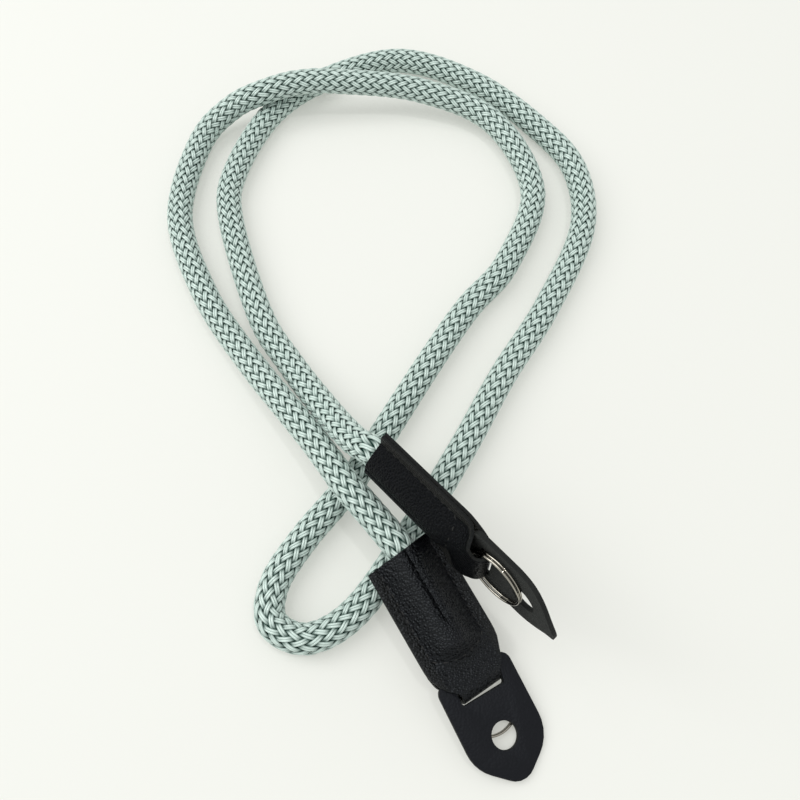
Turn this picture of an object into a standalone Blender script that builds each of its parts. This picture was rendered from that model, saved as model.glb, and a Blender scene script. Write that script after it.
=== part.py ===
"""Camera neck strap: a braided cord with a leather end and a split ring at each tip.

Each leather end is a sleeve sewn flat on both sides of the cord. Its neck folds through
the slot of a loose leather tab and holds the split ring against the tab's back. The cord
lies on the floor in one big neck loop and one small loop, and the two ends lie across it.
The frame's origin is the middle of the strap's footprint, on the floor.
"""

import math

import bmesh
import bpy
from mathutils import Euler, Matrix, Vector

MM = 0.001

# Cord
CORD_D = 9 * MM
CORD_LONGEST_STEP = 20 * MM
CORD_SHORTEST_STEP = 3.5 * MM
CORD_TURN_STEP = math.radians(12)
CURVE_STEPS = 16
CORD_SIDES_RESOLUTION = 4
CORD_IN_SLEEVE = 25 * MM
CORD_STRAIGHT_OUTSIDE = 3 * MM
CORD_CLEARANCE = 0.35 * MM

# Leather
LEATHER_T = 1.1 * MM
TAB_T = 1.4 * MM
GAP = 0.3 * MM
SHARP_FROM = math.radians(40)

# Sleeve, measured along the end from the mouth
SLEEVE_HALF_W = 11.2 * MM
STITCH_ROW = 8.1 * MM
CAVITY_R = CORD_D / 2 + CORD_CLEARANCE
TUBE_R = CAVITY_R + LEATHER_T
CAVITY_SIDES = 24
MOUTH_CUT = 2 * MM
TUBE_ANGLES = (48, 68, 90)
DOME_FROM = 25.8 * MM
DOME_END = 33.0 * MM
DOME_END_WIDTH = 0.5
POCKET_FROM = 29.5 * MM
POCKET_FULL = 37.0 * MM
POCKET_SEAM = 1.8 * MM
POCKET_OVERCUT = 2 * MM
TWIST_FROM = 26.0 * MM
TWIST_DONE = 33.0 * MM
NECK_HALF_W = 6.0 * MM

# Fold of the neck round the tab and the ring
FOLD_INNER_H = 5.0 * MM
FOLD_R = FOLD_INNER_H / 2
FOLD_S = 38.0 * MM
FOLD_STEPS = 8
FOLD_ANGLES = (0, 17, 35, 52, 68, 82)

# Tab, measured along the tab from the middle of its slot
TAB_HALF_W = 11.3 * MM
TAB_TOP = -5.5 * MM
TAB_SHOULDER = 18.0 * MM
TAB_APEX = 26.8 * MM
TAB_TOP_CORNER_R = 3.0 * MM
TAB_SHOULDER_R = 10.4 * MM
TAB_TIP_R = 5.6 * MM
SLOT_HALF_L = 6.5 * MM
SLOT_W = 3.9 * MM
SLOT_CORNER_R = 0.8 * MM
SLOT_S = FOLD_S + 2.4 * MM
HOLE_D = 7.3 * MM
HOLE_S = 13.5 * MM
HOLE_SIDES = 32
CORNER_STEPS = 5

# Split ring: one wire wound twice, with one step from the first turn to the second
RING_OUTER_D = 17.5 * MM
WIRE_D = 0.75 * MM
TURN_PITCH = WIRE_D + 0.12 * MM
STEP_ANGLE = math.radians(34)
RING_STEP_AT = math.radians(200)
TURN_POINTS = 36
WIRE_SIDES_RESOLUTION = 1
RING_S = FOLD_S + 7.1 * MM

# Where each layer lies under the sleeve's middle plane
TAB_CLEARANCE = 0.35 * MM
TAB_MID_N = -(TAB_CLEARANCE + TAB_T / 2)
RING_MID_N = TAB_MID_N - TAB_T / 2 - GAP - (TURN_PITCH + WIRE_D) / 2

# Looks: colour, roughness, metallic
NYLON = ((0.34, 0.43, 0.39), 0.7, 0.0)
LEATHER = ((0.012, 0.012, 0.013), 0.5, 0.0)
NICKEL = ((0.75, 0.71, 0.65), 0.18, 1.0)

# The two ends: mouth position in millimetres, heading, slope and roll of the sleeve, twist
# of the neck past the cord's end, and turn of the tab in its own plane, in degrees, with
# the line across from the middle, in millimetres, that the neck twists about, and how far
# the tab's tip is cut to one side, in millimetres
ENDS = {
    "lower": {
        "mouth": (7.4, -73.5, 15.4),
        "heading": -58.5,
        "slope": -11.9,
        "roll": -2.0,
        "neck_twist": -6.0,
        "twist_line": 0,
        "tab_turn": -3.6,
        "tip_side": -0.9,
    },
    "upper": {
        "mouth": (1.0, -49.0, 25.4),
        "heading": -47.1,
        "slope": 4.5,
        "roll": 256.5,
        "neck_twist": 8.5,
        "twist_line": -11,
        "tab_turn": 0.0,
        "tip_side": 0.0,
    },
}

# The cord's free route in millimetres, from the lower sleeve's mouth to the upper one's
CORD_ROUTE = [
    (-4, -59, 15.6),
    (-9, -53, 14.8),
    (-20, -37, 11.2),
    (-42, -8, 5.8),
    (-59, 18, 4.6),
    (-71, 50, 4.6),
    (-67, 83, 5.0),
    (-56, 96, 9.0),
    (-43, 100, 13.2),
    (-30, 103.3, 14.4),
    (-15, 104.4, 13.6),
    (14, 103.6, 10.2),
    (41, 92, 6.2),
    (54, 61, 4.6),
    (43, 30, 4.6),
    (29.4, 12.6, 4.6),
    (17.3, -6.2, 4.6),
    (-7, -47, 4.6),
    (-20.9, -65.4, 4.6),
    (-29, -79, 4.6),
    (-29, -90, 4.6),
    (-19, -94.3, 4.6),
    (-6.3, -87.3, 4.6),
    (7, -69, 4.6),
    (25.7, -37.8, 4.6),
    (39.5, -12.7, 4.6),
    (55, 12, 4.6),
    (70, 44, 4.6),
    (70, 70, 4.6),
    (58.7, 89.6, 4.6),
    (35.5, 112.8, 4.6),
    (6, 125, 4.6),
    (-24, 114, 4.6),
    (-42, 97, 4.6),
    (-53, 70, 4.6),
    (-53, 49, 4.6),
    (-40, 10, 4.6),
    (-28, -10, 5.8),
    (-16, -28, 12.0),
    (-7, -41, 19.8),
]


# ---------------------------------------------------------------- helpers


def clear_objects():
    for obj in list(bpy.data.objects):
        bpy.data.objects.remove(obj, do_unlink=True)


def principled(name, color, roughness, metallic):
    material = bpy.data.materials.new(name)
    material.use_nodes = True
    shader = material.node_tree.nodes["Principled BSDF"]
    shader.inputs["Base Color"].default_value = (*color, 1.0)
    shader.inputs["Roughness"].default_value = roughness
    shader.inputs["Metallic"].default_value = metallic
    material.diffuse_color = (*color, 1.0)
    return material


def add_object(name, data, material=None, parent=None):
    obj = bpy.data.objects.new(name, data)
    bpy.context.scene.collection.objects.link(obj)
    if material is not None:
        data.materials.append(material)
    obj.parent = parent
    return obj


def mesh_from(name, bm):
    """A mesh whose faces all point out, made from the bmesh."""
    bmesh.ops.recalc_face_normals(bm, faces=bm.faces)
    mesh = bpy.data.meshes.new(name)
    bm.to_mesh(mesh)
    bm.free()
    return mesh


def loft(name, sections):
    """A closed body through sections that all have the same number of points."""
    bm = bmesh.new()
    rings = [[bm.verts.new(point) for point in section] for section in sections]
    for near, far in zip(rings, rings[1:]):
        for i, vert in enumerate(near):
            j = (i + 1) % len(near)
            bm.faces.new((vert, near[j], far[j], far[i]))
    bm.faces.new(rings[0])
    bm.faces.new(rings[-1])
    bmesh.ops.triangulate(bm, faces=bm.faces)
    return mesh_from(name, bm)


def add_cutter(name, mesh, target, parent):
    """Cuts the mesh out of the target, and keeps the cutter as a hidden guide."""
    cutter = add_object(name, mesh, parent=parent)
    cutter.hide_render = True
    cutter.display_type = "WIRE"
    cut = target.modifiers.new(name, "BOOLEAN")
    cut.operation = "DIFFERENCE"
    cut.solver = "EXACT"
    cut.object = cutter


def shade_round(obj):
    obj.data.shade_smooth()
    obj.data.set_sharp_from_angle(angle=SHARP_FROM)


def smoothstep(x):
    x = min(max(x, 0.0), 1.0)
    return x * x * (3 - 2 * x)


def table_value(table, x):
    """The value of a table of (x, value) rows at x, straight between its rows."""
    for (x0, y0), (x1, y1) in zip(table, table[1:]):
        if x <= x1:
            share = max(0.0, (x - x0) / (x1 - x0))
            return y0 + (y1 - y0) * share
    return table[-1][1]


# ---------------------------------------------------------------- the ends' frames


def end_matrix(end):
    """The sleeve's frame: X along the end, Y across it, Z out of its front."""
    place = Vector(end["mouth"]) * MM
    angles = (end["roll"], -end["slope"], end["heading"])
    turn = Euler([math.radians(a) for a in angles], "XYZ").to_matrix().to_4x4()
    return Matrix.Translation(place) @ turn


def add_frame(name, matrix, parent=None):
    frame = add_object(name, None, parent=parent)
    frame.matrix_local = matrix
    return frame


# ---------------------------------------------------------------- sleeve

# Where the sleeve's cross-sections stand, before the fold
SECTIONS_AT = [
    s * MM
    for s in (0, 9, 18, 25.8, 27, 28.2, 29.4, 30.6, 31.8, 33, 34, 35, 36, 37)
]

# Half the width of the sleeve's outline against the distance from its mouth
OUTLINE = [
    (0.0 * MM, SLEEVE_HALF_W),
    (29.5 * MM, SLEEVE_HALF_W),
    (31.5 * MM, 11.0 * MM),
    (33.5 * MM, 10.3 * MM),
    (35.2 * MM, 9.5 * MM),
    (36.8 * MM, 8.6 * MM),
    (38.0 * MM, 7.5 * MM),
    (39.0 * MM, 6.4 * MM),
    (40.0 * MM, NECK_HALF_W),
    (42.0 * MM, NECK_HALF_W),
]


def pocket_share(s):
    """How far the back layer has left the front layer, as a share of the fold's height."""
    return smoothstep((s - POCKET_FROM) / (POCKET_FULL - POCKET_FROM))


def half_section(s, rise):
    """From the sleeve's edge to the top of its tube, as (across, height) pairs."""
    width = DOME_END_WIDTH + (1 - DOME_END_WIDTH) * rise
    half = [(table_value(OUTLINE, s), LEATHER_T), (STITCH_ROW * width, LEATHER_T)]
    for degrees in TUBE_ANGLES:
        angle = math.radians(degrees)
        across = TUBE_R * math.cos(angle) * width
        half.append((across, LEATHER_T + (TUBE_R * math.sin(angle) - LEATHER_T) * rise))
    return half


def mirrored(half):
    return half + [(-y, n) for y, n in reversed(half[:-1])]


def twist_matrix(end, share):
    """A share of the neck's twist, about a line along the end beside its middle."""
    beside = Matrix.Translation((0, end["twist_line"] * MM, 0))
    turn = Matrix.Rotation(math.radians(end["neck_twist"]) * share, 4, "X")
    return beside @ turn @ beside.inverted()


def twisted(s, outline, end):
    """The cross-section's (across, height) pairs as points, twisted as far as the neck is."""
    share = smoothstep((s - TWIST_FROM) / (TWIST_DONE - TWIST_FROM))
    matrix = twist_matrix(end, share)
    return [matrix @ Vector((s, y, n)) for y, n in outline]


def tube_section(s, end):
    """The outline across the sleeve. The front sinks to flat past the cord's end.

    The back runs on level from the tube to the outside of the fold.
    """
    rise = 1 - smoothstep((s - DOME_FROM) / (DOME_END - DOME_FROM))
    share = pocket_share(s)
    front = mirrored(half_section(s, rise))
    under = mirrored(half_section(s, 1.0))
    level = LEATHER_T + FOLD_INNER_H
    back = [(y, -(n + (level - n) * share)) for y, n in reversed(under)]
    return twisted(s, front + back, end)


def fold_section(angle, end):
    """The same points across the round fold at the neck's end."""
    radius = FOLD_R + LEATHER_T
    s = FOLD_S + radius * math.sin(angle)
    reach = radius * math.cos(angle)
    front = [(y, reach - FOLD_R) for y, n in mirrored(half_section(s, 0.0))]
    back = [(y, -reach - FOLD_R) for y, n in reversed(mirrored(half_section(s, 1.0)))]
    return twisted(s, front + back, end)


def pocket_outline():
    """The pocket's side view, between the two layers and round inside the fold."""
    start = POCKET_FROM + POCKET_SEAM
    back_face = [start + (FOLD_S - start) * i / FOLD_STEPS for i in range(FOLD_STEPS + 1)]
    outline = [(start, 0.0)]
    outline += [(s, -FOLD_INNER_H * pocket_share(s)) for s in back_face]
    for i in range(1, FOLD_STEPS):
        angle = math.pi * i / FOLD_STEPS
        across = FOLD_R * math.sin(angle)
        outline.append((FOLD_S + across, -FOLD_R - FOLD_R * math.cos(angle)))
    outline.append((FOLD_S, 0.0))
    return outline


def cord_cavity():
    bm = bmesh.new()
    depth = CORD_IN_SLEEVE + GAP + MOUTH_CUT
    middle = Matrix.Translation((depth / 2 - MOUTH_CUT, 0, 0))
    bmesh.ops.create_cone(
        bm,
        cap_ends=True,
        segments=CAVITY_SIDES,
        radius1=CAVITY_R,
        radius2=CAVITY_R,
        depth=depth,
        matrix=middle @ Matrix.Rotation(math.pi / 2, 4, "Y"),
    )
    return mesh_from("cord_cavity", bm)


def neck_pocket():
    reach = SLEEVE_HALF_W + POCKET_OVERCUT
    sides = [[Vector((s, y, n)) for s, n in pocket_outline()] for y in (-reach, reach)]
    return loft("pocket", sides)


def add_sleeve(side, end, frame, neck, material):
    sections = [tube_section(s, end) for s in SECTIONS_AT]
    sections += [fold_section(math.radians(a), end) for a in FOLD_ANGLES]
    name = f"{side}_sleeve"
    sleeve = add_object(name, loft(name, sections), material, frame)
    add_cutter(f"{side}_cord_cavity", cord_cavity(), sleeve, frame)
    add_cutter(f"{side}_pocket", neck_pocket(), sleeve, neck)
    shade_round(sleeve)
    return sleeve


# ---------------------------------------------------------------- tab


def rounded(corners):
    """Points of an outline whose corners (x, y, radius) are rounded."""
    outline = []
    for i, (x, y, radius) in enumerate(corners):
        here = Vector((x, y))
        before = Vector(corners[i - 1][:2])
        after = Vector(corners[(i + 1) % len(corners)][:2])
        to_before = (before - here).normalized()
        to_after = (after - here).normalized()
        half_angle = to_before.angle(to_after) / 2
        tangent = radius / math.tan(half_angle)
        centre = here + (to_before + to_after).normalized() * radius / math.sin(half_angle)
        first = here + to_before * tangent - centre
        last = here + to_after * tangent - centre
        for step in range(CORNER_STEPS + 1):
            share = step / CORNER_STEPS
            spoke = first.lerp(last, share).normalized() * radius
            outline.append(centre + spoke)
    return outline


def tab_outline(tip_side):
    return rounded(
        [
            (TAB_TOP, -TAB_HALF_W, TAB_TOP_CORNER_R),
            (TAB_SHOULDER + tip_side, -TAB_HALF_W, TAB_SHOULDER_R),
            (TAB_APEX, tip_side, TAB_TIP_R),
            (TAB_SHOULDER - tip_side, TAB_HALF_W, TAB_SHOULDER_R),
            (TAB_TOP, TAB_HALF_W, TAB_TOP_CORNER_R),
        ]
    )


def slot_outline():
    quarters = ((-1, -1), (1, -1), (1, 1), (-1, 1))
    return rounded([(x * SLOT_W / 2, y * SLOT_HALF_L, SLOT_CORNER_R) for x, y in quarters])


def hole_outline():
    angles = [2 * math.pi * i / HOLE_SIDES for i in range(HOLE_SIDES)]
    radius = HOLE_D / 2
    return [Vector((HOLE_S + radius * math.cos(a), radius * math.sin(a))) for a in angles]


def plate(name, outline, half_thickness):
    levels = (-half_thickness, half_thickness)
    return loft(name, [[Vector((p.x, p.y, n)) for p in outline] for n in levels])


def add_tab(side, end, neck, material):
    turn = Matrix.Rotation(math.radians(end["tab_turn"]), 4, "Z")
    place = Matrix.Translation((SLOT_S, 0, TAB_MID_N)) @ turn
    frame = add_frame(f"{side}_slot_middle", place, neck)
    name = f"{side}_tab"
    outline = tab_outline(end["tip_side"] * MM)
    tab = add_object(name, plate(name, outline, TAB_T / 2), material, frame)
    add_cutter(f"{side}_slot", plate("slot", slot_outline(), TAB_T), tab, frame)
    add_cutter(f"{side}_hole", plate("hole", hole_outline(), TAB_T), tab, frame)
    return tab


# ---------------------------------------------------------------- split ring


def ring_points():
    """The wire's centre line: two flat turns joined by one short step."""
    radius = (RING_OUTER_D - WIRE_D) / 2
    whole = 4 * math.pi - STEP_ANGLE
    count = 2 * TURN_POINTS
    points = []
    for i in range(count + 1):
        angle = whole * i / count
        climb = (angle - (2 * math.pi - STEP_ANGLE)) / STEP_ANGLE
        level = TURN_PITCH * (smoothstep(climb) - 0.5)
        turn = angle + RING_STEP_AT
        points.append((radius * math.cos(turn), radius * math.sin(turn), level))
    return points


def add_curve_tube(name, points, diameter, resolution, material):
    curve = bpy.data.curves.new(name, "CURVE")
    curve.dimensions = "3D"
    curve.bevel_depth = diameter / 2
    curve.bevel_resolution = resolution
    curve.use_fill_caps = True
    spline = curve.splines.new("POLY")
    spline.points.add(len(points) - 1)
    for target, point in zip(spline.points, points):
        target.co = (*point, 1.0)
    return add_object(name, curve, material)


def add_ring(side, neck, material):
    ring = add_curve_tube(f"{side}_ring", ring_points(), WIRE_D, WIRE_SIDES_RESOLUTION, material)
    ring.parent = neck
    ring.location = (RING_S, 0, RING_MID_N)
    return ring


# ---------------------------------------------------------------- cord


def smooth_curve(points):
    """A smooth curve through the points, as a fine run of points."""
    first = points[0] * 2 - points[1]
    last = points[-1] * 2 - points[-2]
    padded = [first, *points, last]
    fine = []
    for p0, p1, p2, p3 in zip(padded, padded[1:], padded[2:], padded[3:]):
        for step in range(CURVE_STEPS):
            t = step / CURVE_STEPS
            bend = (p0 * 2 - p1 * 5 + p2 * 4 - p3) * t * t
            twist = (p1 * 3 - p0 - p2 * 3 + p3) * t * t * t
            fine.append((p1 * 2 + (p2 - p0) * t + bend + twist) / 2)
    fine.append(points[-1])
    return fine


def sparse_points(fine):
    """A few of the fine run's points: close together in bends, far apart on straights."""
    kept = [fine[0]]
    heading = fine[1] - fine[0]
    for before, here, after in zip(fine, fine[1:], fine[2:]):
        gap = (here - kept[-1]).length
        turn = heading.angle(after - here)
        if gap > CORD_LONGEST_STEP or (turn > CORD_TURN_STEP and gap > CORD_SHORTEST_STEP):
            kept.append(here)
            heading = after - before
    kept.append(fine[-1])
    return kept


def cord_points():
    """From the cord's end inside the lower sleeve to its end inside the upper one."""
    lower = end_matrix(ENDS["lower"])
    upper = end_matrix(ENDS["upper"])
    outside = Vector((-CORD_STRAIGHT_OUTSIDE, 0, 0))
    inside = Vector((CORD_IN_SLEEVE, 0, 0))
    route = [Vector(point) * MM for point in CORD_ROUTE]
    free = [lower @ Vector(), lower @ outside, *route, upper @ outside, upper @ Vector()]
    between = sparse_points(smooth_curve(free)[CURVE_STEPS:-CURVE_STEPS])
    return [lower @ inside, *between, upper @ inside]


def add_cord(material):
    add_curve_tube("braided_cord", cord_points(), CORD_D, CORD_SIDES_RESOLUTION, material)


# ---------------------------------------------------------------- the strap


def build_strap():
    clear_objects()
    nylon = principled("grey_nylon", *NYLON)
    leather = principled("black_leather", *LEATHER)
    nickel = principled("nickel", *NICKEL)
    add_cord(nylon)
    for side, end in ENDS.items():
        frame = add_frame(f"{side}_end", end_matrix(end))
        neck = add_frame(f"{side}_neck", twist_matrix(end, 1), frame)
        add_sleeve(side, end, frame, neck, leather)
        add_tab(side, end, neck, leather)
        add_ring(side, neck, nickel)


build_strap()
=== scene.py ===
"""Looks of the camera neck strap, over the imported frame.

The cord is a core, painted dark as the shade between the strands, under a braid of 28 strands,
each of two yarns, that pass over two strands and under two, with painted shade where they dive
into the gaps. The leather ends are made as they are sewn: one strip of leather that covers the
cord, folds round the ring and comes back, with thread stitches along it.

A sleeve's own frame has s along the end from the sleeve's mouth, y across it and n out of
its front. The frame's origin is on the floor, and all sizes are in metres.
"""

import math
import random

import bmesh
import bpy
import numpy as np
from mathutils import Euler, Matrix, Vector


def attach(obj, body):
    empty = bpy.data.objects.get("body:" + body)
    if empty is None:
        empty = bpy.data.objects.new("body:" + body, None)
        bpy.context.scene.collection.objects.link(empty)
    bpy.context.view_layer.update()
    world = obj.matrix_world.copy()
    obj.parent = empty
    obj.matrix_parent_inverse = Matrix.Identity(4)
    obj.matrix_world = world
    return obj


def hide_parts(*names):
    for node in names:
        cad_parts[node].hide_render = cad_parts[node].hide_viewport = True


MM = 0.001

# Camera: a 36 mm lens that looks down at 65 degrees
CAMERA_AT = Vector((6.5, -127.9, 232.5)) * MM
CAMERA_TILT = math.radians(25)
LENS = 36
SENSOR = 36

# Floor, which glows a little so that the shadows on it stay soft
FLOOR_HALF = 3.0
FLOOR_LEVEL = -0.05 * MM
FLOOR_COLOUR = (0.497, 0.503, 0.488)
FLOOR_GLOW_COLOUR = (0.99, 1.0, 0.92)
FLOOR_GLOW = 0.34
FLOOR_ROUGHNESS = 0.9
FLOOR_SHINE = 0.1

# Light: the sky, and square lights that face the strap, in metres and watts
SKY_COLOUR = (1.0, 1.0, 0.985)
SKY_STRENGTH = 0.71
LIGHT_COLOUR = (1.0, 1.0, 0.98)
LIGHTS = {
    "key": {"place": (-0.75, 0.25, 1.5), "size": 1.2, "power": 10.5},
    "left": {"place": (-0.7, 0.1, 0.5), "size": 0.3, "power": 1.2},
    "top": {"place": (0.35, -0.1, 1.5), "size": 0.1, "power": 2.6},
}

# Cord, as in the frame, and its core, painted dark as the shade that shows between the strands
CORD_D = 9 * MM
CORD_IN_SLEEVE = 25 * MM
CORD_STRAIGHT_OUTSIDE = 3 * MM
CORD_CLEARANCE = 0.35 * MM
CURVE_STEPS = 16
CORE_R = 3.2 * MM
CORE_STEP = 2 * MM
CORE_SIDES = 12

# Braid: its strands, and the half round section of a yarn, in degrees from its top
STRANDS_EACH_WAY = 14
BRAID_PITCH = 3.83 * MM
BRAID_TURN = 2 * math.pi / (STRANDS_EACH_WAY * BRAID_PITCH)
BRAID_SLANT = math.atan(BRAID_TURN * CORD_D / 2)
BRAID_STEP = 0.64 * MM
BRAID_IN_SLEEVE = 3 * MM
BRAID_PIECES = 4
BRAID_SEED = 7
YARN_HALF_W = 0.40 * MM
YARN_HALF_T = 0.42 * MM
YARN_OFFSET = 0.33 * MM
YARN_SECTION = (-90, -34, 34, 90)
YARN_VARIATION = 0.06

# How far a strand waves in and out, and how fast its painted light falls off to painted shade
# towards the gaps and at a yarn's sides
WAVE = 0.5 * MM
WAVE_MID_R = CORD_D / 2 - YARN_HALF_T - WAVE
WAVE_SHARPNESS = 1.7
WAVE_PHASE = math.pi / 4
PAINTED_SHADE_POWER = 2.4
YARN_EDGE_PAINTED_LIGHT = 0.2

# Leather, as in the frame
LEATHER_T = 1.1 * MM
SLEEVE_HALF_W = 11.2 * MM
STITCH_ROW = 8.1 * MM
CAVITY_R = CORD_D / 2 + CORD_CLEARANCE
TUBE_R = CAVITY_R + LEATHER_T
DOME_FROM = 25.8 * MM
DOME_END = 33.0 * MM
POCKET_FROM = 29.5 * MM
POCKET_FULL = 37.0 * MM
TWIST_FROM = 26.0 * MM
TWIST_DONE = 33.0 * MM
FOLD_INNER_H = 5.0 * MM
FOLD_R = FOLD_INNER_H / 2
FOLD_S = 38.0 * MM
SLOT_S = FOLD_S + 2.4 * MM
TAB_T = 1.4 * MM
TAB_CLEARANCE = 0.35 * MM
TAB_MID_N = -(TAB_CLEARANCE + TAB_T / 2)
TAB_APEX = 26.8 * MM

# Form of the soft strip: the sides of its bulge, its neck, its fold and where it leans
BULGE_POWER = 1.5
NECK_HALF_W = 6.3 * MM
FOLD_MID_R = FOLD_R + LEATHER_T / 2
FOLD_REACH = 0.4 * MM
POCKET_EVEN = 3.0 * MM
NECK_SHIFT_FROM = 34.0 * MM
NECK_SHIFT_DONE = 38.0 * MM
MOUTH_SKEW_END = 8.0 * MM

# Strip's mesh and its cut edge
SLEEVE_STEP = 0.5 * MM
SLEEVE_ACROSS = 56
FOLD_STEPS = 16
EDGE_ROUND = 0.35 * MM
EDGE_T_SHARE = 0.72
SHARP_FROM = math.radians(50)

# Lines pressed in by the thread, and the margin outside them, which gets a painted sheen
ROW_GROOVE = 0.22 * MM
ROW_GROOVE_W = 0.75 * MM
SEAM_GROOVE = 0.75 * MM
SEAM_GROOVE_W = 0.5 * MM
SEAM_END = 22.0 * MM
SEAM_FADE = 2 * MM
PAINTED_SHEEN_EDGE_W = 0.8 * MM

# Thread
STITCH_PITCH = 2.5 * MM
STITCH_LENGTH = 1.75 * MM
STITCH_R = 0.2 * MM
STITCH_LIFT = LEATHER_T / 2 - 0.02 * MM
STITCH_SINK = 0.22 * MM
STITCH_END_W = 0.05
STITCH_RINGS = 7
STITCH_SIDES = 8
STITCH_START = 1.6 * MM
STITCH_TURN_S = 27.0 * MM
STITCH_TURN_LENGTH = 3.6 * MM
STITCH_TURN_STEPS = 120
STITCH_LINE_STEP = 0.5 * MM
NORMAL_STEP = 0.3 * MM
NORMAL_SHARE = 0.02

# Tab: its rounded edge and the bend of its tip
TAB_EDGE_ROUND = 0.18 * MM
TAB_EDGE_SEGMENTS = 3
TAB_EDGE_PROFILE = 0.5
TAB_FLAT_WITHIN = math.radians(1)
TAB_FACING = 0.9
TAB_BEND_FROM = 8.0 * MM
TAB_CUTS = 24
MERGE_WITHIN = 0.001 * MM

# Split ring, as in the frame, with its gap behind the tab
GAP = 0.3 * MM
RING_OUTER_D = 17.5 * MM
WIRE_D = 0.75 * MM
TURN_PITCH = WIRE_D + 0.12 * MM
STEP_ANGLE = math.radians(34)
RING_STEP_AT = math.radians(200)
RING_S = FOLD_S + 7.1 * MM
RING_MID_N = TAB_MID_N - TAB_T / 2 - GAP - (TURN_PITCH + WIRE_D) / 2
RING_POINTS = 220
RING_SIDES = 14

# Looks of the yarn: its colours, one of them the painted shade of its gaps, the scales of its
# tint and its fibres, and its gloss
YARN_LOW = (0.6, 0.745, 0.69)
YARN_HIGH = (0.8, 0.945, 0.89)
YARN_PAINTED_SHADE = (0.012, 0.056, 0.042)
YARN_ROUGHNESS = 0.24
YARN_TINT_SCALE = 420
YARN_TINT_DETAIL = 2
FIBRE_SCALE = 5000
FIBRE_DETAIL = 2
FIBRE_STRENGTH = 0.35
FIBRE_DEPTH = 0.05 * MM

# Looks of all leather: the scales of its tint, its grain and its pores
LEATHER_TINT_SCALE = 130
LEATHER_TINT_DETAIL = 4
GRAIN_SCALE = 1500
GRAIN_DEPTH = 0.4 * MM
PORE_SCALE = 3200
PORE_DETAIL = 3
PORE_DEPTH = 0.1 * MM
PORE_SHARE = 0.5
LEATHER_SHINE_COLOUR = (0.86, 0.93, 1)

# Each leather: the two colours of its tint, the colour of its margin, a painted sheen on the
# sleeves, and its surface
LEATHERS = {
    "lower_sleeve_leather": {
        "low": (0.0015, 0.0017, 0.0022),
        "high": (0.003, 0.0033, 0.004),
        "margin": (0.005, 0.005, 0.0045),
        "roughness": 0.28,
        "grain": 1.0,
        "shine": 0.24,
    },
    "upper_sleeve_leather": {
        "low": (0.0015, 0.0017, 0.0022),
        "high": (0.003, 0.0033, 0.004),
        # Painted sheen: the upper sleeve's margin is painted much lighter than the lower's
        "margin": (0.0185, 0.019, 0.018),
        "roughness": 0.28,
        "grain": 1.0,
        "shine": 0.08,
    },
    "tab_leather": {
        "low": (0.002, 0.002, 0.0035),
        "high": (0.0035, 0.0036, 0.0055),
        "margin": None,
        "roughness": 0.5,
        "grain": 0.3,
        "shine": 0.22,
    },
    "tab_flesh": {
        "low": (0.017, 0.018, 0.017),
        "high": (0.042, 0.044, 0.041),
        "margin": None,
        "roughness": 0.8,
        "grain": 1.0,
        "shine": 0.2,
    },
    "cut_edge": {
        "low": (0.006, 0.0063, 0.0058),
        "high": (0.016, 0.0165, 0.0145),
        "margin": (0.006, 0.0063, 0.0058),
        "roughness": 0.7,
        "grain": 0.5,
        "shine": 0.2,
    },
}

# The small things' plain materials
PLAIN = {
    # The cord's core is painted dark as shade, where the gaps of the braid show it
    "cord_shadow": {"colour": (0.012, 0.048, 0.036), "roughness": 0.9, "metallic": 0.0},
    "black_thread": {"colour": (0.008, 0.0078, 0.007), "roughness": 0.6, "metallic": 0.0},
    "polished_nickel": {"colour": (0.4, 0.38, 0.33), "roughness": 0.06, "metallic": 1.0},
}

# Half the width of the strip against the distance from its mouth
OUTLINE = [
    (0.0 * MM, SLEEVE_HALF_W),
    (29.5 * MM, SLEEVE_HALF_W),
    (31.5 * MM, 11.0 * MM),
    (33.5 * MM, 10.3 * MM),
    (35.2 * MM, 9.5 * MM),
    (36.8 * MM, 8.6 * MM),
    (38.0 * MM, 7.5 * MM),
    (39.0 * MM, 6.4 * MM),
    (40.0 * MM, NECK_HALF_W),
    (42.0 * MM, NECK_HALF_W),
]

# The two ends, in millimetres and degrees. As in the frame: the mouth's place, the heading,
# slope and roll of the end, the twist of the neck, the line beside the middle that it twists
# about, and the turn of the tab. In the soft leather alone: how far the tab's tip bends back,
# and how much less for each millimetre across, how much sooner the pocket opens for each
# millimetre across, how far the neck is to one side, and how far the middle of the mouth
# reaches out.
ENDS = {
    "lower": {
        "mouth": (7.4, -73.5, 15.4),
        "heading": -58.5,
        "slope": -11.9,
        "roll": -2.0,
        "neck_twist": -6.0,
        "twist_line": 0,
        "tab_turn": -3.6,
        "tab_bend": 0.0,
        "tab_twist": 0.0,
        "pocket_skew": 0.0,
        "neck_shift": 0.5,
        "mouth_skew": 1.1,
    },
    "upper": {
        "mouth": (1.0, -49.0, 25.4),
        "heading": -47.1,
        "slope": 4.5,
        "roll": 256.5,
        "neck_twist": 8.5,
        "twist_line": -11,
        "tab_turn": 0.0,
        "tab_bend": 2.4,
        "tab_twist": 0.23,
        "pocket_skew": 0.3,
        "neck_shift": 0.0,
        "mouth_skew": 0.0,
    },
}

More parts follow.
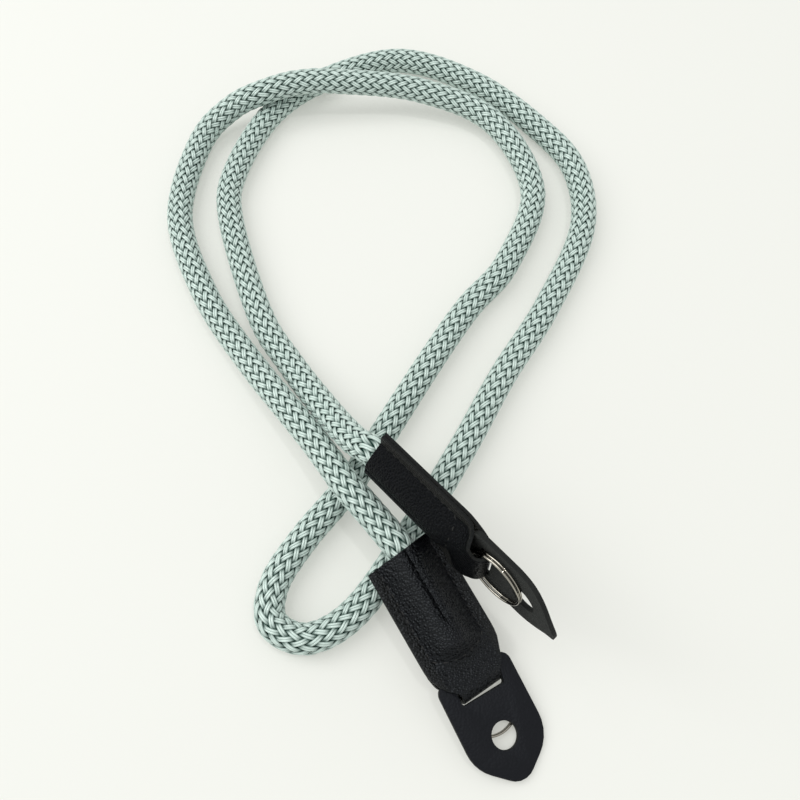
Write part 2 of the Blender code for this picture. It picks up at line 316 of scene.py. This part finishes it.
# The cord's free route in millimetres, from the lower sleeve's mouth to the upper one's
CORD_ROUTE = [
    (-4, -59, 15.6),
    (-9, -53, 14.8),
    (-20, -37, 11.2),
    (-42, -8, 5.8),
    (-59, 18, 4.6),
    (-71, 50, 4.6),
    (-67, 83, 5.0),
    (-56, 96, 9.0),
    (-43, 100, 13.2),
    (-30, 103.3, 14.4),
    (-15, 104.4, 13.6),
    (14, 103.6, 10.2),
    (41, 92, 6.2),
    (54, 61, 4.6),
    (43, 30, 4.6),
    (29.4, 12.6, 4.6),
    (17.3, -6.2, 4.6),
    (-7, -47, 4.6),
    (-20.9, -65.4, 4.6),
    (-29, -79, 4.6),
    (-29, -90, 4.6),
    (-19, -94.3, 4.6),
    (-6.3, -87.3, 4.6),
    (7, -69, 4.6),
    (25.7, -37.8, 4.6),
    (39.5, -12.7, 4.6),
    (55, 12, 4.6),
    (70, 44, 4.6),
    (70, 70, 4.6),
    (58.7, 89.6, 4.6),
    (35.5, 112.8, 4.6),
    (6, 125, 4.6),
    (-24, 114, 4.6),
    (-42, 97, 4.6),
    (-53, 70, 4.6),
    (-53, 49, 4.6),
    (-40, 10, 4.6),
    (-28, -10, 5.8),
    (-16, -28, 12.0),
    (-7, -41, 19.8),
]


# ---------------------------------------------------------------- numbers


def ease(x, start, stop):
    """0 up to start and 1 from stop on, with a smooth rise between them."""
    share = min(max((x - start) / (stop - start), 0.0), 1.0)
    return share * share * (3 - 2 * share)


def half_width(s):
    """Half the strip's width at a distance from its mouth, straight between OUTLINE's rows."""
    for (s0, width0), (s1, width1) in zip(OUTLINE, OUTLINE[1:]):
        if s <= s1:
            share = max(0.0, (s - s0) / (s1 - s0))
            return width0 + (width1 - width0) * share
    return OUTLINE[-1][1]


def lengths_along(points):
    """The length of the line up to each of its points."""
    steps = np.linalg.norm(np.diff(points, axis=0), axis=1)
    return np.concatenate([[0.0], np.cumsum(steps)])


def line_at(line, lengths, at):
    """The line's points at the given lengths along it."""
    return np.stack([np.interp(at, lengths, column) for column in line.T], axis=1)


def frames_along(points):
    """A tangent and two cross directions at each point, carried along without twisting."""
    tangents = np.gradient(points, axis=0)
    tangents /= np.linalg.norm(tangents, axis=1)[:, None]
    right = np.cross(tangents[0], (0, 0, 1.0))
    right /= np.linalg.norm(right)
    rights = [right]
    for tangent in tangents[1:]:
        right = right - tangent * right.dot(tangent)
        right /= np.linalg.norm(right)
        rights.append(right)
    rights = np.array(rights)
    return tangents, rights, np.cross(tangents, rights)


# ---------------------------------------------------------------- meshes


def add_piece(name, mesh, material):
    """Puts a mesh in the scene as a piece that rides on the root."""
    piece = bpy.data.objects.new(name, mesh)
    bpy.context.scene.collection.objects.link(piece)
    mesh.materials.append(material)
    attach(piece, "root")
    return piece


def mesh_of(name, verts, faces):
    """A mesh with smooth shading."""
    mesh = bpy.data.meshes.new(name)
    mesh.from_pydata(verts, [], faces)
    mesh.validate()
    mesh.shade_smooth()
    return mesh


def add_attribute(mesh, name, values):
    """Gives each point of the mesh a number, which its material reads by this name."""
    layer = mesh.attributes.new(name, "FLOAT", "POINT")
    layer.data.foreach_set("value", values.astype(np.float32))


def grid_faces(rows, columns, closed=False):
    """The faces of a grid of points, whose columns may close into a tube."""
    faces = []
    last = columns if closed else columns - 1
    for row in range(rows - 1):
        near = row * columns
        far = near + columns
        for column in range(last):
            beside = (column + 1) % columns
            faces.append((near + column, near + beside, far + beside, far + column))
    return faces


def tube_mesh(name, centre, radius, sides):
    """A round tube along a centre line, with flat ends."""
    _, rights, ups = frames_along(centre)
    turns = np.linspace(0, 2 * math.pi, sides, endpoint=False)
    rings = [centre + radius * (math.cos(a) * rights + math.sin(a) * ups) for a in turns]
    verts = np.stack(rings, axis=1).reshape(-1, 3)
    faces = grid_faces(len(centre), sides, closed=True)
    faces.append(tuple(range(sides)))
    faces.append(tuple(range(len(verts) - 1, len(verts) - 1 - sides, -1)))
    return mesh_of(name, verts.tolist(), faces)


def shade_round(mesh):
    """Smooth shading, with the sharp edges kept."""
    mesh.shade_smooth()
    mesh.set_sharp_from_angle(angle=SHARP_FROM)


def turn_faces_out(mesh):
    """Makes every face look out of the mesh, and shades it."""
    bm = bmesh.new()
    bm.from_mesh(mesh)
    bmesh.ops.recalc_face_normals(bm, faces=bm.faces)
    bm.to_mesh(mesh)
    bm.free()
    shade_round(mesh)


# ---------------------------------------------------------------- the ends' frames


def end_matrix(end):
    """The sleeve's frame: X along the end, Y across it, Z out of its front."""
    place = Vector(end["mouth"]) * MM
    angles = (end["roll"], -end["slope"], end["heading"])
    turn = Euler([math.radians(a) for a in angles], "XYZ").to_matrix().to_4x4()
    return Matrix.Translation(place) @ turn


def twist_matrix(end, share):
    """A share of the neck's twist, about a line along the end beside its middle."""
    beside = Matrix.Translation((0, end["twist_line"] * MM, 0))
    turn = Matrix.Rotation(math.radians(end["neck_twist"]) * share, 4, "X")
    return beside @ turn @ beside.inverted()


def neck_matrix(end):
    """The sleeve's frame, twisted as the neck is."""
    return end_matrix(end) @ twist_matrix(end, 1)


def tab_matrix(end):
    """The tab's frame: X along it from the middle of its slot, Z out of its front."""
    slot = Matrix.Translation((SLOT_S, 0, TAB_MID_N))
    turn = Matrix.Rotation(math.radians(end["tab_turn"]), 4, "Z")
    return neck_matrix(end) @ slot @ turn


# ---------------------------------------------------------------- camera, floor and light


def add_camera():
    data = bpy.data.cameras.new("camera")
    data.lens = LENS
    data.sensor_width = SENSOR
    camera = bpy.data.objects.new("camera", data)
    camera.location = CAMERA_AT
    camera.rotation_euler = (CAMERA_TILT, 0, 0)
    bpy.context.scene.collection.objects.link(camera)
    bpy.context.scene.camera = camera


def floor_material():
    material, shader = new_material("floor_paper")
    shader.inputs["Base Color"].default_value = (*FLOOR_COLOUR, 1)
    shader.inputs["Emission Color"].default_value = (*FLOOR_GLOW_COLOUR, 1)
    shader.inputs["Emission Strength"].default_value = FLOOR_GLOW
    shader.inputs["Roughness"].default_value = FLOOR_ROUGHNESS
    shader.inputs["Specular IOR Level"].default_value = FLOOR_SHINE
    return material


def add_floor():
    mesh = bpy.data.meshes.new("floor")
    corners = [(-1, -1), (1, -1), (1, 1), (-1, 1)]
    verts = [(x * FLOOR_HALF, y * FLOOR_HALF, FLOOR_LEVEL) for x, y in corners]
    mesh.from_pydata(verts, [], [(0, 1, 2, 3)])
    floor = bpy.data.objects.new("floor", mesh)
    bpy.context.scene.collection.objects.link(floor)
    mesh.materials.append(floor_material())


def add_light(name, place, size, power):
    """A square light that faces the middle of the strap."""
    data = bpy.data.lights.new(name, "AREA")
    data.shape = "SQUARE"
    data.size = size
    data.energy = power
    data.color = LIGHT_COLOUR
    light = bpy.data.objects.new(name, data)
    light.location = place
    light.rotation_euler = (-Vector(place)).to_track_quat("-Z", "Y").to_euler()
    bpy.context.scene.collection.objects.link(light)


def add_lights():
    world = bpy.data.worlds.new("studio")
    world.use_nodes = True
    background = world.node_tree.nodes["Background"]
    background.inputs["Color"].default_value = (*SKY_COLOUR, 1)
    background.inputs["Strength"].default_value = SKY_STRENGTH
    bpy.context.scene.world = world
    for name, light in LIGHTS.items():
        add_light(name, light["place"], light["size"], light["power"])
    bpy.context.scene.view_settings.view_transform = "Standard"


# ---------------------------------------------------------------- material nodes


def new_material(name):
    material = bpy.data.materials.new(name)
    material.use_nodes = True
    return material, material.node_tree.nodes["Principled BSDF"]


def add_node(tree, kind, **values):
    node = tree.nodes.new(kind)
    for name, value in values.items():
        node.inputs[name].default_value = value
    return node


def object_place(tree):
    """The point of the object, in metres, that the textures read."""
    return tree.nodes.new("ShaderNodeTexCoord").outputs["Object"]


def noise(tree, place, scale, detail):
    texture = add_node(tree, "ShaderNodeTexNoise", Scale=scale, Detail=detail)
    tree.links.new(place, texture.inputs["Vector"])
    return texture.outputs["Fac"]


def colour_between(tree, source, low, high):
    ramp = tree.nodes.new("ShaderNodeValToRGB")
    ramp.color_ramp.elements[0].color = (*low, 1)
    ramp.color_ramp.elements[1].color = (*high, 1)
    tree.links.new(source, ramp.inputs["Fac"])
    return ramp.outputs["Color"]


def mesh_attribute(tree, name):
    node = tree.nodes.new("ShaderNodeAttribute")
    node.attribute_name = name
    return node.outputs["Fac"]


def colour_mix(tree):
    mix = tree.nodes.new("ShaderNodeMix")
    mix.data_type = "RGBA"
    return mix


def bump(tree, height, strength, distance, under=None, invert=False):
    """Bump from a height, over the normal of the bump under it."""
    node = add_node(tree, "ShaderNodeBump", Strength=strength, Distance=distance)
    node.invert = invert
    tree.links.new(height, node.inputs["Height"])
    if under is not None:
        tree.links.new(under, node.inputs["Normal"])
    return node.outputs["Normal"]


# ---------------------------------------------------------------- materials


def leather_colour(tree, place, look):
    """The leather's tint, and its margin's colour, a painted sheen, where the mesh's painted
    sheen share is up.
    """
    tint = noise(tree, place, LEATHER_TINT_SCALE, LEATHER_TINT_DETAIL)
    colour = colour_between(tree, tint, look["low"], look["high"])
    if look["margin"] is None:
        return colour
    # Painted sheen: the margin's lighter colour, mixed in outside the rows of stitches
    mix = colour_mix(tree)
    mix.inputs["B"].default_value = (*look["margin"], 1)
    tree.links.new(mesh_attribute(tree, "painted_sheen"), mix.inputs["Factor"])
    tree.links.new(colour, mix.inputs["A"])
    return mix.outputs["Result"]


def leather_normal(tree, place, grain):
    """Cells of grain with fine pores over them."""
    cells = add_node(tree, "ShaderNodeTexVoronoi", Scale=GRAIN_SCALE)
    tree.links.new(place, cells.inputs["Vector"])
    coarse = bump(tree, cells.outputs["Distance"], grain, GRAIN_DEPTH, invert=True)
    pores = noise(tree, place, PORE_SCALE, PORE_DETAIL)
    return bump(tree, pores, grain * PORE_SHARE, PORE_DEPTH, under=coarse)


def leather_material(name):
    look = LEATHERS[name]
    material, shader = new_material(name)
    tree = material.node_tree
    place = object_place(tree)
    tree.links.new(leather_colour(tree, place, look), shader.inputs["Base Color"])
    tree.links.new(leather_normal(tree, place, look["grain"]), shader.inputs["Normal"])
    shader.inputs["Roughness"].default_value = look["roughness"]
    shader.inputs["Specular IOR Level"].default_value = look["shine"]
    shader.inputs["Specular Tint"].default_value = (*LEATHER_SHINE_COLOUR, 1)
    return material


def yarn_colour(tree, place, painted_light):
    """The yarn's tint on top, and painted shade down in the gaps and at the yarn's sides."""
    tint = noise(tree, place, YARN_TINT_SCALE, YARN_TINT_DETAIL)
    colour = colour_between(tree, tint, YARN_LOW, YARN_HIGH)
    mix = colour_mix(tree)
    # Painted shade: the dark colour mixed in where the painted light is low
    mix.inputs["A"].default_value = (*YARN_PAINTED_SHADE, 1)
    tree.links.new(painted_light, mix.inputs["Factor"])
    tree.links.new(colour, mix.inputs["B"])
    return mix.outputs["Result"]


def yarn_material():
    """Nylon yarn, whose colour and gloss rise with the mesh's painted light, so painted shade
    darkens it and dulls its gloss in the gaps.
    """
    material, shader = new_material("nylon_yarn")
    tree = material.node_tree
    place = object_place(tree)
    painted_light = mesh_attribute(tree, "painted_light")
    fibres = noise(tree, place, FIBRE_SCALE, FIBRE_DETAIL)
    normal = bump(tree, fibres, FIBRE_STRENGTH, FIBRE_DEPTH)
    tree.links.new(yarn_colour(tree, place, painted_light), shader.inputs["Base Color"])
    tree.links.new(normal, shader.inputs["Normal"])
    # Painted shade also dulls the yarn's gloss down in the gaps
    tree.links.new(painted_light, shader.inputs["Specular IOR Level"])
    shader.inputs["Roughness"].default_value = YARN_ROUGHNESS
    return material


def plain_material(name):
    look = PLAIN[name]
    material, shader = new_material(name)
    shader.inputs["Base Color"].default_value = (*look["colour"], 1)
    shader.inputs["Roughness"].default_value = look["roughness"]
    shader.inputs["Metallic"].default_value = look["metallic"]
    return material


# ---------------------------------------------------------------- the cord's line


def smooth_curve(points):
    """A smooth curve through the points, as a fine run of points."""
    first = points[0] * 2 - points[1]
    last = points[-1] * 2 - points[-2]
    padded = [first, *points, last]
    fine = []
    for p0, p1, p2, p3 in zip(padded, padded[1:], padded[2:], padded[3:]):
        for step in range(CURVE_STEPS):
            t = step / CURVE_STEPS
            bend = (p0 * 2 - p1 * 5 + p2 * 4 - p3) * t * t
            twist = (p1 * 3 - p0 - p2 * 3 + p3) * t * t * t
            fine.append((p1 * 2 + (p2 - p0) * t + bend + twist) / 2)
    fine.append(points[-1])
    return fine


def cord_line():
    """The cord's centre line, from its end in the lower sleeve to its end in the upper one."""
    lower = end_matrix(ENDS["lower"])
    upper = end_matrix(ENDS["upper"])
    outside = Vector((-CORD_STRAIGHT_OUTSIDE, 0, 0))
    inside = Vector((CORD_IN_SLEEVE, 0, 0))
    mouths = (lower @ Vector(), upper @ Vector())
    route = [Vector(point) * MM for point in CORD_ROUTE]
    free = [mouths[0], lower @ outside, *route, upper @ outside, mouths[1]]
    between = smooth_curve(free)[CURVE_STEPS:-CURVE_STEPS]
    return np.array([lower @ inside, mouths[0], *between, mouths[1], upper @ inside])


# ---------------------------------------------------------------- the braid


def strand_wave(angle, way):
    """How far over or under a strand lies at this angle round the cord, from -1 to 1."""
    over = way * np.cos(STRANDS_EACH_WAY * angle / 2 - WAVE_PHASE)
    return np.tanh(WAVE_SHARPNESS * over) / math.tanh(WAVE_SHARPNESS)


def yarn_surface(at, centre, frames, strand, offset, size):
    """The outer half of one yarn along the whole braid, as rows of (x, y, z, painted light)."""
    way, index = strand
    tangents, rights, ups = frames
    angle = way * BRAID_TURN * at + 2 * math.pi * index / STRANDS_EACH_WAY
    cos = np.cos(angle)[:, None]
    sin = np.sin(angle)[:, None]
    out = cos * rights + sin * ups
    around = cos * ups - sin * rights
    across = math.cos(BRAID_SLANT) * around - way * math.sin(BRAID_SLANT) * tangents
    wave = strand_wave(angle, way)
    radius = WAVE_MID_R + WAVE * wave
    # Painted shade: the yarn darkens where it dives under the others and towards its sides
    top_painted_light = ((wave + 1) / 2) ** PAINTED_SHADE_POWER
    columns = []
    for degrees in YARN_SECTION:
        bend = math.radians(degrees)
        beside = offset + YARN_HALF_W * size * math.sin(bend)
        height = radius + YARN_HALF_T * size * math.cos(bend) - beside * beside / CORD_D
        place = centre + out * height[:, None] + across * beside
        painted_light = top_painted_light * (YARN_EDGE_PAINTED_LIGHT + (1 - YARN_EDGE_PAINTED_LIGHT) * math.cos(bend))
        columns.append(np.concatenate([place, painted_light[:, None]], axis=1))
    return np.stack(columns, axis=1)


def braid_yarns(line, lengths):
    """Every yarn of the braid, from inside one sleeve's mouth to inside the other's."""
    start = CORD_IN_SLEEVE - BRAID_IN_SLEEVE
    stop = lengths[-1] - CORD_IN_SLEEVE + BRAID_IN_SLEEVE
    count = int((stop - start) / BRAID_STEP) + 1
    at = np.linspace(start, stop, count)
    centre = line_at(line, lengths, at)
    frames = frames_along(centre)
    rng = random.Random(BRAID_SEED)
    yarns = []
    for way in (1, -1):
        for index in range(STRANDS_EACH_WAY):
            for offset in (-YARN_OFFSET, YARN_OFFSET):
                size = 1 + YARN_VARIATION * rng.uniform(-1, 1)
                yarns.append(yarn_surface(at, centre, frames, (way, index), offset, size))
    return yarns


def add_braid_piece(number, yarns, material):
    """One mesh of all yarns over one stretch of the cord."""
    rows, columns = yarns[0].shape[:2]
    one = np.array(grid_faces(rows, columns))
    faces = np.concatenate([one + i * rows * columns for i in range(len(yarns))])
    verts = np.concatenate([yarn.reshape(-1, 4) for yarn in yarns])
    name = f"cord_braid_{number}"
    mesh = mesh_of(name, verts[:, :3].tolist(), faces.tolist())
    # Each point's painted light, which the material turns into painted shade in the gaps
    add_attribute(mesh, "painted_light", verts[:, 3])
    return add_piece(name, mesh, material)


def add_braid(line, lengths, material):
    yarns = braid_yarns(line, lengths)
    cuts = np.linspace(0, len(yarns[0]) - 1, BRAID_PIECES + 1).astype(int)
    pieces = []
    for number, (first, last) in enumerate(zip(cuts, cuts[1:]), 1):
        stretch = [yarn[first : last + 1] for yarn in yarns]
        pieces.append(add_braid_piece(number, stretch, material))
    return pieces


# ---------------------------------------------------------------- the cord


def add_cord(yarn, dark):
    """The cord: a core painted dark as the shade that shows between the strands, and the braid
    round it.
    """
    line = cord_line()
    lengths = lengths_along(line)
    at = np.linspace(0, lengths[-1], int(lengths[-1] / CORE_STEP))
    centre = line_at(line, lengths, at)
    core_mesh = tube_mesh("cord_core", centre, CORE_R, CORE_SIDES)
    core = add_piece("cord_core", core_mesh, dark)
    braid = add_braid(line, lengths, yarn)
    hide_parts("braided_cord")


# ---------------------------------------------------------------- the form of the strip


def pocket_share(s, y, skew):
    """How far the back layer has left the front, sooner on one edge where it is skewed."""
    shift = skew * y * ease(FOLD_S - s, 0, POCKET_EVEN)
    return ease(s + shift, POCKET_FROM, POCKET_FULL)


def groove(distance, width, depth):
    """How deep a pressed line is at a distance from its middle."""
    return depth * math.exp(-((distance / width) ** 2))


def row_distance(s, y):
    """How far a point of the sleeve is from the line of stitches round the cord's end."""
    if s < STITCH_TURN_S:
        return abs(abs(y) - STITCH_ROW)
    past = (s - STITCH_TURN_S) / STITCH_TURN_LENGTH
    return abs(math.hypot(y / STITCH_ROW, past) - 1) * STITCH_ROW


def layer_height(s, y, side, skew):
    """How far the middle of a layer stands off the middle plane of the sleeve.

    The front sinks to flat past the cord's end, and the back runs on level to the fold.
    """
    across = min(abs(y) / STITCH_ROW, 1.0)
    bulge = (TUBE_R - LEATHER_T) * (1 - across**2) ** BULGE_POWER
    seam = groove(abs(y), SEAM_GROOVE_W, SEAM_GROOVE) * ease(SEAM_END - s, 0, SEAM_FADE)
    rows = groove(row_distance(s, y), ROW_GROOVE_W, ROW_GROOVE)
    if side > 0:
        rise = 1 - ease(s, DOME_FROM, DOME_END)
        return LEATHER_T / 2 + bulge * rise - rows - seam
    share = pocket_share(s, y, skew)
    raised = bulge + (FOLD_INNER_H - bulge) * share
    return LEATHER_T / 2 + raised - rows * (1 - share) - seam


def leaning(s, y, n, share, end):
    """The point where the skew of the mouth and the shift and twist of the neck take it."""
    back = (share + 1) * (1 - ease(s, 0, MOUTH_SKEW_END))
    beside = ease(s, NECK_SHIFT_FROM, NECK_SHIFT_DONE)
    turn = ease(s, TWIST_FROM, TWIST_DONE)
    leaned_s = s - end["mouth_skew"] * MM * back
    leaned_y = y + end["neck_shift"] * MM * beside
    return twist_matrix(end, turn) @ Vector((leaned_s, leaned_y, n))


def strip_point(s, side, share, end):
    """A point on the strip's middle surface, in the sleeve's frame.

    The side is 1 on the front, -1 on the back and between them in the fold, and the share
    of the half width runs from -1 at one cut edge to 1 at the other.
    """
    if abs(side) < 1:
        s = FOLD_S + (FOLD_MID_R + FOLD_REACH) * math.sqrt(1 - side * side)
        y = share * half_width(s)
        n = side * FOLD_MID_R - FOLD_R
    else:
        y = share * half_width(s)
        n = side * layer_height(s, y, side, end["pocket_skew"])
    return leaning(s, y, n, share, end)


# ---------------------------------------------------------------- the leather sleeve


def strip_stations():
    """Places along the strip, as (s, side): up the front, round the fold and back."""
    count = int(FOLD_S / SLEEVE_STEP)
    straight = [FOLD_S * i / count for i in range(count + 1)]
    stations = [(s, 1.0) for s in straight]
    stations += [(FOLD_S, math.cos(math.pi * i / FOLD_STEPS)) for i in range(1, FOLD_STEPS)]
    return stations + [(s, -1.0) for s in reversed(straight)]


def across_shares():
    """Shares of the half width across the strip, closer together at its cut edges."""
    even = [2 * i / SLEEVE_ACROSS - 1 for i in range(SLEEVE_ACROSS + 1)]
    return [math.sin(math.pi / 2 * share) for share in even]


def thickness_share(share):
    """The share of the leather's thickness that is left at the rounded cut edge."""
    inside = (1 - abs(share)) * SLEEVE_HALF_W
    return EDGE_T_SHARE + (1 - EDGE_T_SHARE) * ease(inside, 0, EDGE_ROUND)


def painted_sheen_share(s, share):
    """1 on the flat margin outside the rows of stitches, where a painted sheen goes, and 0
    inside them.
    """
    return ease(abs(share) * half_width(s) - STITCH_ROW, 0, PAINTED_SHEEN_EDGE_W)


def strip_layers(stations, shares, end):
    """The strip's outer and inner surfaces, half its thickness off its middle surface."""
    middle = np.array([[strip_point(s, side, x, end) for x in shares] for s, side in stations])
    normals = np.cross(np.gradient(middle, axis=0), np.gradient(middle, axis=1))
    normals /= np.linalg.norm(normals, axis=2)[:, :, None]
    half = np.array([LEATHER_T / 2 * thickness_share(x) for x in shares])[None, :, None]
    return middle + normals * half, middle - normals * half


def grid_border(rows, columns):
    """The points round the border of a grid, in order."""
    border = list(range(columns))
    border += [row * columns + columns - 1 for row in range(1, rows)]
    border += [(rows - 1) * columns + column for column in range(columns - 2, -1, -1)]
    border += [row * columns for row in range(rows - 2, 0, -1)]
    return border


def strip_mesh(name, end):
    """The strip's mesh, and the number of its first cut edge's face."""
    stations = strip_stations()
    shares = across_shares()
    outer, inner = strip_layers(stations, shares, end)
    verts = np.concatenate([outer.reshape(-1, 3), inner.reshape(-1, 3)])
    rows = len(stations)
    columns = len(shares)
    layer = rows * columns
    faces = grid_faces(rows, columns)
    faces += [tuple(layer + i for i in reversed(face)) for face in faces]
    edge_from = len(faces)
    border = grid_border(rows, columns)
    for a, b in zip(border, border[1:] + border[:1]):
        faces.append((b, a, layer + a, layer + b))
    mesh = mesh_of(name, verts.tolist(), faces)
    # Where the margin's painted sheen goes
    painted_sheen = np.array([[painted_sheen_share(s, x) for x in shares] for s, _ in stations])
    add_attribute(mesh, "painted_sheen", np.tile(painted_sheen.ravel(), 2))
    return mesh, edge_from


def add_sleeve(side, end, leather, edge):
    """The sleeve and its neck: one strip, with its own material on its cut edges."""
    name = f"{side}_sleeve_leather"
    mesh, edge_from = strip_mesh(name, end)
    sleeve = add_piece(name, mesh, leather)
    mesh.materials.append(edge)
    for polygon in mesh.polygons:
        if polygon.index >= edge_from:
            polygon.material_index = 1
    turn_faces_out(mesh)
    mesh.transform(end_matrix(end))
    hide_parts(f"{side}_sleeve")


# ---------------------------------------------------------------- thread


def row_line():
    """The line of stitches in (s, y): down one row, round the cord's end and back up."""
    down = [(s, STITCH_ROW) for s in np.arange(STITCH_START, STITCH_TURN_S, STITCH_LINE_STEP)]
    bow = []
    for i in range(STITCH_TURN_STEPS + 1):
        angle = math.pi / 2 * (1 - 2 * i / STITCH_TURN_STEPS)
        s = STITCH_TURN_S + STITCH_TURN_LENGTH * math.cos(angle)
        bow.append((s, STITCH_ROW * math.sin(angle)))
    up = [(s, -STITCH_ROW) for s, _ in reversed(down)]
    return down + bow + up


def seam_line():
    """The line of stitches along the seam on the cord."""
    return [(s, 0.0) for s in np.arange(STITCH_START, SEAM_END, STITCH_LINE_STEP)]


def spread(line):
    """The middle of each stitch along a line of (s, y) points, and a point just ahead of it."""
    line = np.array(line)
    lengths = lengths_along(line)
    count = int(lengths[-1] / STITCH_PITCH)
    at = (np.arange(count) + 0.5) * lengths[-1] / count
    return zip(line_at(line, lengths, at), line_at(line, lengths, at + STITCH_PITCH / 4))


def thread_point(place, side, end):
    """The thread's middle over a point (s, y) of the sleeve, and the surface's normal."""
    s, y = place
    share = y / half_width(s)
    here = strip_point(s, side, share, end)
    along = strip_point(s + NORMAL_STEP, side, share, end) - here
    beside = strip_point(s, side, share + NORMAL_SHARE, end) - here
    normal = along.cross(beside).normalized() * side
    return here + normal * STITCH_LIFT, normal


def stitch_verts(centre, tangent, normal):
    """A short thread capsule, pressed down at its ends."""
    side = normal.cross(tangent).normalized()
    verts = []
    for ring in range(STITCH_RINGS):
        x = 2 * ring / (STITCH_RINGS - 1) - 1
        width = STITCH_END_W + (1 - STITCH_END_W) * math.sqrt(max(0.0, 1 - x**4))
        middle = centre + tangent * (x * STITCH_LENGTH / 2) - normal * (STITCH_SINK * x * x)
        for k in range(STITCH_SIDES):
            angle = 2 * math.pi * k / STITCH_SIDES
            spoke = side * math.cos(angle) + normal * math.sin(angle)
            verts.append(tuple(middle + spoke * (STITCH_R * width)))
    return verts


def add_stitches(side, end, thread):
    """The stitches of both lines, on the front and on the back of the sleeve."""
    name = f"{side}_stitches"
    stitch_faces = grid_faces(STITCH_RINGS, STITCH_SIDES, closed=True)
    verts = []
    faces = []
    for line in (row_line(), seam_line()):
        for face_side in (1.0, -1.0):
            for place, next_place in spread(line):
                here, normal = thread_point(place, face_side, end)
                ahead, _ = thread_point(next_place, face_side, end)
                start = len(verts)
                verts += stitch_verts(here, (ahead - here).normalized(), normal)
                faces += [tuple(start + i for i in face) for face in stitch_faces]
    mesh = mesh_of(name, verts, faces)
    add_piece(name, mesh, thread)
    turn_faces_out(mesh)
    mesh.transform(end_matrix(end))


# ---------------------------------------------------------------- the tab


def round_tab_edges(bm):
    """Joins the flat triangles into whole faces and rounds the sharp edges between them."""
    bmesh.ops.remove_doubles(bm, verts=bm.verts, dist=MERGE_WITHIN)
    bmesh.ops.dissolve_limit(bm, angle_limit=TAB_FLAT_WITHIN, verts=bm.verts, edges=bm.edges)
    bmesh.ops.bevel(
        bm,
        geom=[edge for edge in bm.edges if edge.calc_face_angle(0) > SHARP_FROM],
        offset=TAB_EDGE_ROUND,
        segments=TAB_EDGE_SEGMENTS,
        profile=TAB_EDGE_PROFILE,
        affect="EDGES",
    )


def paint_tab(bm, end):
    """The first material on the tab's front, the second on its back, the third on its edge."""
    up = tab_matrix(end).to_3x3() @ Vector((0, 0, 1))
    bm.normal_update()
    for face in bm.faces:
        facing = face.normal.dot(up)
        if facing > TAB_FACING:
            face.material_index = 0
        elif facing < -TAB_FACING:
            face.material_index = 1
        else:
            face.material_index = 2


def bend_tab(bm, end):
    """Bends the tab's tip back, further on one side where it is twisted."""
    place = tab_matrix(end)
    bm.transform(place.inverted())
    reach = TAB_APEX - TAB_BEND_FROM
    for i in range(1, TAB_CUTS):
        at = (TAB_BEND_FROM + reach * i / TAB_CUTS, 0, 0)
        geometry = [*bm.verts, *bm.edges, *bm.faces]
        bmesh.ops.bisect_plane(
            bm, geom=geometry, dist=MERGE_WITHIN, plane_co=at, plane_no=(1, 0, 0)
        )
    for vert in bm.verts:
        share = max(0.0, vert.co.x - TAB_BEND_FROM) / reach
        back = end["tab_bend"] * MM - end["tab_twist"] * vert.co.y
        vert.co.z -= back * share * share
    bm.transform(place)


def add_tab(side, end, node, leather, flesh, edge):
    """The frame's own tab, with rounded edges and the bend of its tip."""
    mesh = node.data.copy()
    mesh.materials.clear()
    bm = bmesh.new()
    bm.from_mesh(mesh)
    round_tab_edges(bm)
    paint_tab(bm, end)
    if end["tab_bend"]:
        bend_tab(bm, end)
    bm.to_mesh(mesh)
    bm.free()
    tab = add_piece(f"{side}_tab_leather", mesh, leather)
    mesh.materials.append(flesh)
    mesh.materials.append(edge)
    shade_round(mesh)
    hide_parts(f"{side}_tab")


# ---------------------------------------------------------------- the split ring


def ring_line():
    """The wire's centre line: two flat turns joined by one short step."""
    radius = (RING_OUTER_D - WIRE_D) / 2
    whole = 4 * math.pi - STEP_ANGLE
    step_from = 2 * math.pi - STEP_ANGLE
    points = []
    for i in range(RING_POINTS + 1):
        angle = whole * i / RING_POINTS
        level = TURN_PITCH * (ease(angle - step_from, 0, STEP_ANGLE) - 0.5)
        turn = angle + RING_STEP_AT
        points.append((radius * math.cos(turn), radius * math.sin(turn), level))
    return np.array(points)


def add_ring(side, end, metal):
    """The smooth coil of wire in the neck's fold."""
    name = f"{side}_split_ring"
    mesh = tube_mesh(name, ring_line(), WIRE_D / 2, RING_SIDES)
    turn_faces_out(mesh)
    ring = add_piece(name, mesh, metal)
    mesh.transform(neck_matrix(end) @ Matrix.Translation((RING_S, 0, RING_MID_N)))
    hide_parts(f"{side}_ring")


# ---------------------------------------------------------------- the scene


def add_ends(nodes):
    """Both leather ends, each with its sleeve, stitches, tab and ring."""
    tab_leather = leather_material("tab_leather")
    tab_flesh = leather_material("tab_flesh")
    cut_edge = leather_material("cut_edge")
    thread = plain_material("black_thread")
    nickel = plain_material("polished_nickel")
    for side, end in ENDS.items():
        add_sleeve(side, end, leather_material(f"{side}_sleeve_leather"), cut_edge)
        add_stitches(side, end, thread)
        add_tab(side, end, nodes[f"{side}_tab"], tab_leather, tab_flesh, cut_edge)
        add_ring(side, end, nickel)


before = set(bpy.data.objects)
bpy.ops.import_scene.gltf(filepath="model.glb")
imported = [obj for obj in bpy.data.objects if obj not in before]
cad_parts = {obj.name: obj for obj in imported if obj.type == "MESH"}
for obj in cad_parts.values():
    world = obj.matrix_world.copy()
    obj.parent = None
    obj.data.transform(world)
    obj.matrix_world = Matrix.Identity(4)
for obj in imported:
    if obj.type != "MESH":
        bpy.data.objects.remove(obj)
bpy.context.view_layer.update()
add_camera()
add_floor()
add_lights()
add_cord(yarn_material(), plain_material("cord_shadow"))
add_ends(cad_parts)
